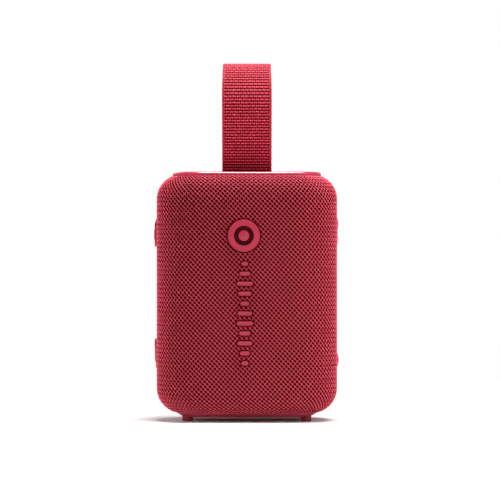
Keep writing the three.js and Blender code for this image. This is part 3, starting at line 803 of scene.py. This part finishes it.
def make_cap():
    low = BODY_TOP - SKIN + 0.1 * MM
    pocket_x, pocket_y, pocket_corner = 11 * MM, 7.1 * MM, 1.6 * MM     # half sizes and corner
    pocket_lip = 0.5 * MM
    pocket_floor = strap_low.z - 0.5 * MM
    tub = 1.2 * MM                      # wall of the tub under the plate
    flat_rim = 1.2 * MM                 # level band inside the rounded rim
    mic_radius = 0.5 * MM

    def pocket(grow, height):
        flat = rounded(pocket_x + grow, pocket_y + grow, pocket_corner + grow, 20)
        return np.column_stack([flat, np.full(len(flat), height)])

    rings = [pocket(tub, pocket_floor - tub), pocket(tub, low)]
    rings += [plan_ring(CAP_INSET + CAP_LOW_RIM * (1 - math.sin(a)),
                        low + CAP_LOW_RIM * (1 - math.cos(a))) for a in quarter_round(6)]
    rings += [plan_ring(CAP_INSET + CAP_RIM * (1 - math.cos(a)),
                        cap_high.z - CAP_RIM * (1 - math.sin(a))) for a in quarter_round(8)]
    rings += [plan_ring(CAP_INSET + CAP_RIM + flat_rim, cap_high.z)]
    rings += [pocket(pocket_lip * (1 - math.sin(a)), cap_high.z - pocket_lip * (1 - math.cos(a)))
              for a in quarter_round(6)]
    rings += [pocket(0, pocket_floor)]
    piece = loft("cap_plate", rings, sharp=35)
    mic_low, mic_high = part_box("microphone")
    mic_x = (mic_low.x + mic_high.x) / 2
    cut(piece, [hole_cutter((mic_x, 0, low), mic_radius, -1 * MM, 4 * MM, 24)])
    dress(piece, "enclosure", "red_plastic", ["top_cap"])


def make_base():
    low, top = base_low.z, base_high.z
    chamfer = 3.8 * MM
    rise = 2.1 * MM
    soft = 0.3 * MM
    below, foot_socket, screw_socket = -5 * MM, 3.1 * MM, 2.9 * MM      # heights of the holes
    screw_radius = 2 * MM
    rings = [plan_ring(BASE_INSET + chamfer + 0.8 * MM, low),
             plan_ring(BASE_INSET + chamfer + 0.2 * MM, low + 0.02 * MM),
             plan_ring(BASE_INSET + chamfer - 0.15 * MM, low + 0.12 * MM),
             plan_ring(BASE_INSET + soft, low + rise - soft * 0.6),
             plan_ring(BASE_INSET + soft * 0.3, low + rise - soft * 0.1),
             plan_ring(BASE_INSET, low + rise + soft),
             plan_ring(BASE_INSET, top)]
    piece = loft("base_shell", rings, sharp=35)
    cutters = []
    for i in range(1, 5):
        foot_low, foot_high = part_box(f"foot_{i}")
        centre = (foot_low + foot_high) / 2
        radius = (foot_high.x - foot_low.x) / 2 + 0.2 * MM
        cutters.append(hole_cutter((centre.x, centre.y, 0), radius, below, foot_socket))
    for i in range(1, 3):
        screw_low, screw_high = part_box(f"base_screw_{i}")
        centre = (screw_low + screw_high) / 2
        cutters.append(hole_cutter((centre.x, centre.y, 0), screw_radius, below, screw_socket))
    cut(piece, cutters)
    dress(piece, "enclosure", "red_plastic", ["base_plate"], base_material)


def make_feet():
    for i in range(1, 5):
        low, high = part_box(f"foot_{i}")
        centre = (low + high) / 2
        radius = (high.x - low.x) / 2
        soft = 0.5 * MM
        profile = [(0, 0.06 * MM), (radius * 0.5, 0.02 * MM), (radius - soft, 0)]
        profile += [(radius - soft * (1 - math.sin(a)), soft * (1 - math.cos(a)))
                    for a in quarter_round(5)[1:]]
        profile += [(radius, high.z - 0.2 * MM), (radius - 0.2 * MM, high.z), (0, high.z)]
        piece = turned(f"rubber_foot_{i}", profile, (centre.x, centre.y, 0), (0, 0, 1), 48)
        dress(piece, "enclosure", "red_rubber", [f"foot_{i}"], foot_shade_material)


make_cap()
make_base()
make_feet()

# ---- Side keys, flap and lens --------------------------------------------------------------------


def side_pad(name, node, proud_at, rounding=0.3 * MM, ridge=0.0):
    """A pad on a side wall, over the CAD node's outline. proud_at gives how far it stands out of
    the sleeve at each height; its edge is rounded, and ridge is the depth of its diagonal ribs."""
    low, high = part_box(node)
    sign = 1 if high.x > 0 else -1
    half_y = (high.y - low.y) / 2
    half_z = (high.z - low.z) / 2
    middle_z = (high.z + low.z) / 2
    radius = min(half_y, half_z) - 0.7 * MM
    foot = HALF_WIDTH - OPENING_DEPTH
    ridge_lean, ridge_fade = 0.6, 0.4 * MM

    def ring(inset, drop):
        smaller = max(radius - inset, 0.02 * MM)
        flat = rounded(half_y - inset, half_z - inset, smaller, 10)
        heights = flat[:, 1] + middle_z
        out = HALF_WIDTH + proud_at(heights) - drop
        if ridge:
            waves = np.sin(2 * math.pi * (flat[:, 0] * ridge_lean + heights) / RIDGE_PITCH)
            out += ridge * waves * min(1, inset / ridge_fade)
        return np.column_stack([sign * out, flat[:, 0], heights])

    edge = ring(0, 0)
    rings = [np.column_stack([np.full(len(edge), sign * foot), edge[:, 1], edge[:, 2]])]
    for a in quarter_round(6):
        rings.append(ring(rounding * (1 - math.cos(a)), rounding * (1 - math.sin(a))))
    reach = min(half_y, half_z) - 0.05 * MM
    for inset in np.linspace(rounding, reach, 12)[1:]:
        rings.append(ring(inset, 0))
    return loft(name, rings, sharp=50)


def side_symbol(outline, sign, middle_z, surface):
    """A raised symbol on a key: outline is (y, z) points in mm."""
    flat = np.array(outline) * MM
    rings = []
    for rise, size in ((-0.3 * MM, 1), (SYMBOL_RISE * 0.6, 1), (SYMBOL_RISE, 0.95)):
        ring = flat * size
        out = np.full(len(ring), sign * (surface + rise))
        rings.append(np.column_stack([out, ring[:, 0], ring[:, 1] + middle_z]))
    return loft("symbol", rings, sharp=30)


def power_arc():
    """A ring with a gap at its top, in mm."""
    outer, inner = 1.7, 1.2
    turns = np.linspace(math.radians(125), math.radians(415), 30)
    return ([(outer * math.cos(a), outer * math.sin(a)) for a in turns]
            + [(inner * math.cos(a), inner * math.sin(a)) for a in turns[::-1]])


def bar_outline(half_y, half_z, up=0.0):
    """A bar with rounded ends, in mm."""
    return [(y, z + up) for y, z in rounded(half_y, half_z, min(half_y, half_z) * 0.9, 5)]


def make_side_pieces():
    power_low, power_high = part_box("power_key")
    ramp_end = power_high.z - 2.8 * MM
    proud = -HALF_WIDTH - power_low.x
    proud_at_top = 0.15 * MM

    def power_profile(z):
        return proud - (proud - proud_at_top) * smoothstep(ramp_end, power_high.z, z)

    key = side_pad("power_button", "power_key", power_profile, 0.25 * MM, 0.05 * MM)
    symbol_z = (power_low.z + ramp_end) / 2 + 0.2 * MM
    surface = HALF_WIDTH + proud
    key = joined("power_button", [
        key,
        side_symbol(power_arc(), -1, symbol_z, surface),
        side_symbol(bar_outline(0.25, 0.95, 1.3), -1, symbol_z, surface)])
    dress(key, "power_button", "red_rubber", ["power_key"])

    flap_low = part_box("port_flap")[0]
    step = flap_low.z + 3 * MM          # the thin finger edge lies below this height
    step_depth, step_slope = 0.45 * MM, 0.5 * MM
    flap_proud = -HALF_WIDTH - flap_low.x

    def flap_profile(z):
        return flap_proud - step_depth * (1 - smoothstep(step - step_slope, step, z))

    flap = side_pad("port_cover", "port_flap", flap_profile, 0.3 * MM)
    dress(flap, "flap", "red_rubber", ["port_flap"])

    rocker_low, rocker_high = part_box("volume_rocker")
    rocker_proud = rocker_high.x - HALF_WIDTH
    rocker_middle = (rocker_low.z + rocker_high.z) / 2
    dip, dip_reach = 0.12 * MM, 2.5 * MM

    def rocker_profile(z):
        return rocker_proud - dip * (1 - smoothstep(0, dip_reach, np.abs(z - rocker_middle)))

    rocker = side_pad("volume_button", "volume_rocker", rocker_profile, 0.3 * MM)
    surface = HALF_WIDTH + rocker_proud
    symbol_gap = 3.1 * MM
    rocker = joined("volume_button", [
        rocker,
        side_symbol(bar_outline(1.4, 0.28), 1, rocker_middle + symbol_gap, surface),
        side_symbol(bar_outline(0.28, 1.4), 1, rocker_middle + symbol_gap, surface),
        side_symbol(bar_outline(1.4, 0.28), 1, rocker_middle - symbol_gap, surface)])
    dress(rocker, "volume_button", "red_rubber", ["volume_rocker"])

    play_low, play_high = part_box("play_key")
    play_proud = play_high.x - HALF_WIDTH
    triangle = [(-1.0, -1.25), (1.2, 0), (-1.0, 1.25)]

    def play_profile(z):
        return np.full_like(z, play_proud)

    play = side_pad("play_button", "play_key", play_profile, 0.3 * MM)
    play = joined("play_button", [
        play,
        side_symbol(triangle, 1, (play_low.z + play_high.z) / 2, HALF_WIDTH + play_proud)])
    dress(play, "play_button", "red_rubber", ["play_key"])

    low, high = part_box("status_lens")
    radius = (high.z - low.z) / 2
    dome_rise = 0.25 * MM
    dome = [(radius * math.sin(a), (high.x - low.x) - dome_rise * (1 - math.cos(a)))
            for a in quarter_round(8)[::-1]]
    lens = turned("status_light", [(0, 0), (radius, 0), *dome],
                  (low.x, 0, (low.z + high.z) / 2), (1, 0, 0), 32)
    dress(lens, "enclosure", "clear_plastic", ["status_lens"])


make_side_pieces()

# ---- Marks on the front --------------------------------------------------------------------------


def make_marks():
    low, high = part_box("mark_disc")
    centre = (low + high) / 2
    radius = (high.x - low.x) / 2
    tall = high.y - low.y
    soft = 0.22 * MM
    groove = 0.75 * MM
    inner, outer = 2.1 * MM, 3.9 * MM       # the sunk ring
    edge = 0.1 * MM
    profile = [(0, tall - edge), (inner - 2 * edge, tall - edge), (inner, tall - 2 * edge),
               (inner, tall - groove), (outer, tall - groove), (outer, tall - edge),
               (outer + edge, tall)]
    profile += [(radius - soft * (1 - math.sin(a)), tall - soft * (1 - math.cos(a)))
                for a in quarter_round(6)]
    profile += [(radius, 0), (0, 0)]
    disc = turned("round_mark", profile, (centre.x, high.y, centre.z), (0, -1, 0), 96, sharp=35)
    dress(disc, "enclosure", "red_rubber", ["mark_disc"])
    disc.data.materials.append(recess_shade_material)
    # The sunk ring's faces take the near-black recess material, painted shade.
    for face in disc.data.polygons:
        from_axis = math.hypot(face.center.x - centre.x, face.center.z - centre.z)
        below_top = face.center.y > low.y + 2.5 * edge
        in_ring = inner - edge / 2 < from_axis < outer + edge / 2
        face.material_index = int(below_top and in_ring)

    bars_low, bars_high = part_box("mark_bars")
    bars_x = (bars_low.x + bars_high.x) / 2
    soft = 0.32 * MM
    section = [(0, bars_high.y)] + [
        (soft * (1 - math.cos(a)), bars_low.y + soft * (1 - math.sin(a))) for a in quarter_round(5)]
    pieces = []
    for i, (width, z) in enumerate(zip(MARK_WIDTHS, mark_heights())):
        rings = []
        for inset, out in section:
            half = MARK_HALF_HEIGHT - inset
            flat = rounded(width * MM / 2 - inset, half, half - 0.05 * MM, 10)
            rings.append(np.column_stack(
                [flat[:, 0] + bars_x, np.full(len(flat), out), flat[:, 1] + z]))
        pieces.append(loft(f"bar_{i}", rings, sharp=50))
    dress(joined("level_marks", pieces), "enclosure", "red_rubber", ["mark_bars"])


make_marks()

# ---- Suspension of the driver and the passive radiator -------------------------------------------


def bending_ring(name, node, slot, profile, sectors):
    """A soft ring in sectors, each spanning from its outer edge by the enclosure to its inner edge
    by the moving body. profile is the ring's closed outline as (radius, y) points."""
    low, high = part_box(node)
    centre = Vector(((low.x + high.x) / 2, 0, (low.z + high.z) / 2))
    inner = min(radius for radius, _ in profile)
    half_turn = math.pi / sectors
    gap_turn = 0.01 * MM / inner
    for i in range(sectors):
        middle = 2 * half_turn * i
        reach = half_turn - gap_turn
        rings = [[(centre.x + radius * math.cos(turn), y, centre.z + radius * math.sin(turn))
                  for radius, y in profile]
                 for turn in np.linspace(middle - reach, middle + reach, 9)]
        piece = loft(f"{name}_{i + 1}", rings)
        piece.data.materials.append(materials[slot])
        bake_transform(piece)
        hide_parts(node)


def roll_profile(node):
    """A half roll of rubber, as thick as the CAD's, that bulges forward from its two edges."""
    low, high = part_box(node)
    outer = (high.x - low.x) / 2
    half = high.y - low.y
    thickness = 0.45 * MM
    turns = np.linspace(0, math.pi, 15)

    def arc(radius, angles):
        return [(outer - half - radius * math.cos(a), high.y - radius * math.sin(a))
                for a in angles]

    return arc(half, turns) + arc(half - thickness, turns[::-1])


def spider_profile():
    """Corrugated cloth between the coil and the basket."""
    low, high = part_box("driver_spider")
    outer = (high.x - low.x) / 2
    inner = 7.85 * MM
    thickness = 0.4 * MM
    wave = (high.y - low.y - thickness) / 2
    shares = np.linspace(0, 1, 33)
    front = [(inner + (outer - inner) * share, low.y + wave * (1 - math.cos(4 * math.pi * share)))
             for share in shares]
    back = [(radius, y + thickness) for radius, y in front[::-1]]
    return front + back


bending_ring("cone_surround", "driver_surround", "black_rubber",
             roll_profile("driver_surround"), 8)
bending_ring("cone_spider", "driver_spider", "spider_cloth", spider_profile(), 6)
bending_ring("radiator_surround", "passive_surround", "black_rubber",
             roll_profile("passive_surround"), 8)

# ---- Floor, light and camera ---------------------------------------------------------------------


FLOOR_RADIUS = 0.36
FLOOR_THICKNESS = 0.01
ROOM_LIGHT = 0.012                      # how bright the white room is, next to the lamps
ROOM_GLOSS = 0.3                        # and how bright it is where a glossy surface mirrors it
LAMP_AIM = (0, 0, 0.06)
LAMPS = [  # name, place, size, power in watts, seen in reflections
    ("top_light", (0.10, 0.02, 0.95), (0.5, 0.5), 7.5, True),
    ("key_light", (0.30, -0.22, 0.75), (0.14, 0.14), 1.95, True),
    ("left_light", (-0.38, -0.02, 0.12), (0.08, 0.35), 0.85, False),
    ("left_front_light", (-0.30, -0.24, 0.13), (0.05, 0.30), 0.3, False),
    ("right_light", (0.17, -0.115, 0.10), (0.05, 0.14), 0.24, False),
    ("crest_light", (0, -0.05, 0.45), (0.08, 0.08), 1.15, True),
    ("back_light", (-0.35, 0.90, 0.55), (0.40, 0.40), 1.2, True)]
CAMERA_PLACE = (1.24 * MM, -1.05, 68 * MM)
VIEW_WIDTH = 0.2                        # width of the view at the object


def make_floor():
    floor = turned("floor", [(0, -FLOOR_THICKNESS), (FLOOR_RADIUS, -FLOOR_THICKNESS),
                             (FLOOR_RADIUS, 0), (0, 0)], (0, 0, 0), (0, 0, 1), 96)
    material, tree, shader = new_material("floor")
    tone = ramp(tree, noise(tree, 3), [(0.3, (0.93, 0.93, 0.93)), (0.7, (0.95, 0.95, 0.95))])
    tree.links.new(tone, shader.inputs["Base Color"])
    set_sockets(shader, Roughness=0.8)
    floor.data.materials.append(material)


def add_lamp(name, place, size, power, reflected):
    data = bpy.data.lights.new(name, "AREA")
    data.shape = "RECTANGLE"
    data.size, data.size_y = size
    data.energy = power
    lamp = bpy.data.objects.new(name, data)
    lamp.location = place
    aim = Vector(LAMP_AIM) - Vector(place)
    lamp.rotation_euler = aim.to_track_quat("-Z", "Y").to_euler()
    lamp.visible_glossy = reflected
    bpy.context.scene.collection.objects.link(lamp)


def make_studio():
    for lamp in LAMPS:
        add_lamp(*lamp)
    world = bpy.data.worlds.new("studio")
    bpy.context.scene.world = world
    world.use_nodes = True
    tree = world.node_tree
    background = tree.nodes["Background"]
    background.inputs["Color"].default_value = (1, 1, 1, 1)
    rays = add_node(tree, "ShaderNodeLightPath").outputs
    seen = mapped(tree, rays["Is Camera Ray"], ROOM_LIGHT, 1.0)
    mirrored = mapped(tree, rays["Is Glossy Ray"], 0, ROOM_GLOSS)
    tree.links.new(maths(tree, "MAXIMUM", seen, mirrored), background.inputs["Strength"])
    bpy.context.scene.view_settings.view_transform = "Standard"


def make_camera():
    data = bpy.data.cameras.new("camera")
    data.sensor_width = 36
    data.lens = data.sensor_width * -CAMERA_PLACE[1] / VIEW_WIDTH
    data.clip_end = 20
    camera = bpy.data.objects.new("camera", data)
    camera.location = CAMERA_PLACE
    camera.rotation_euler = (math.pi / 2, 0, 0)
    bpy.context.scene.collection.objects.link(camera)
    bpy.context.scene.camera = camera


make_floor()
make_studio()
make_camera()
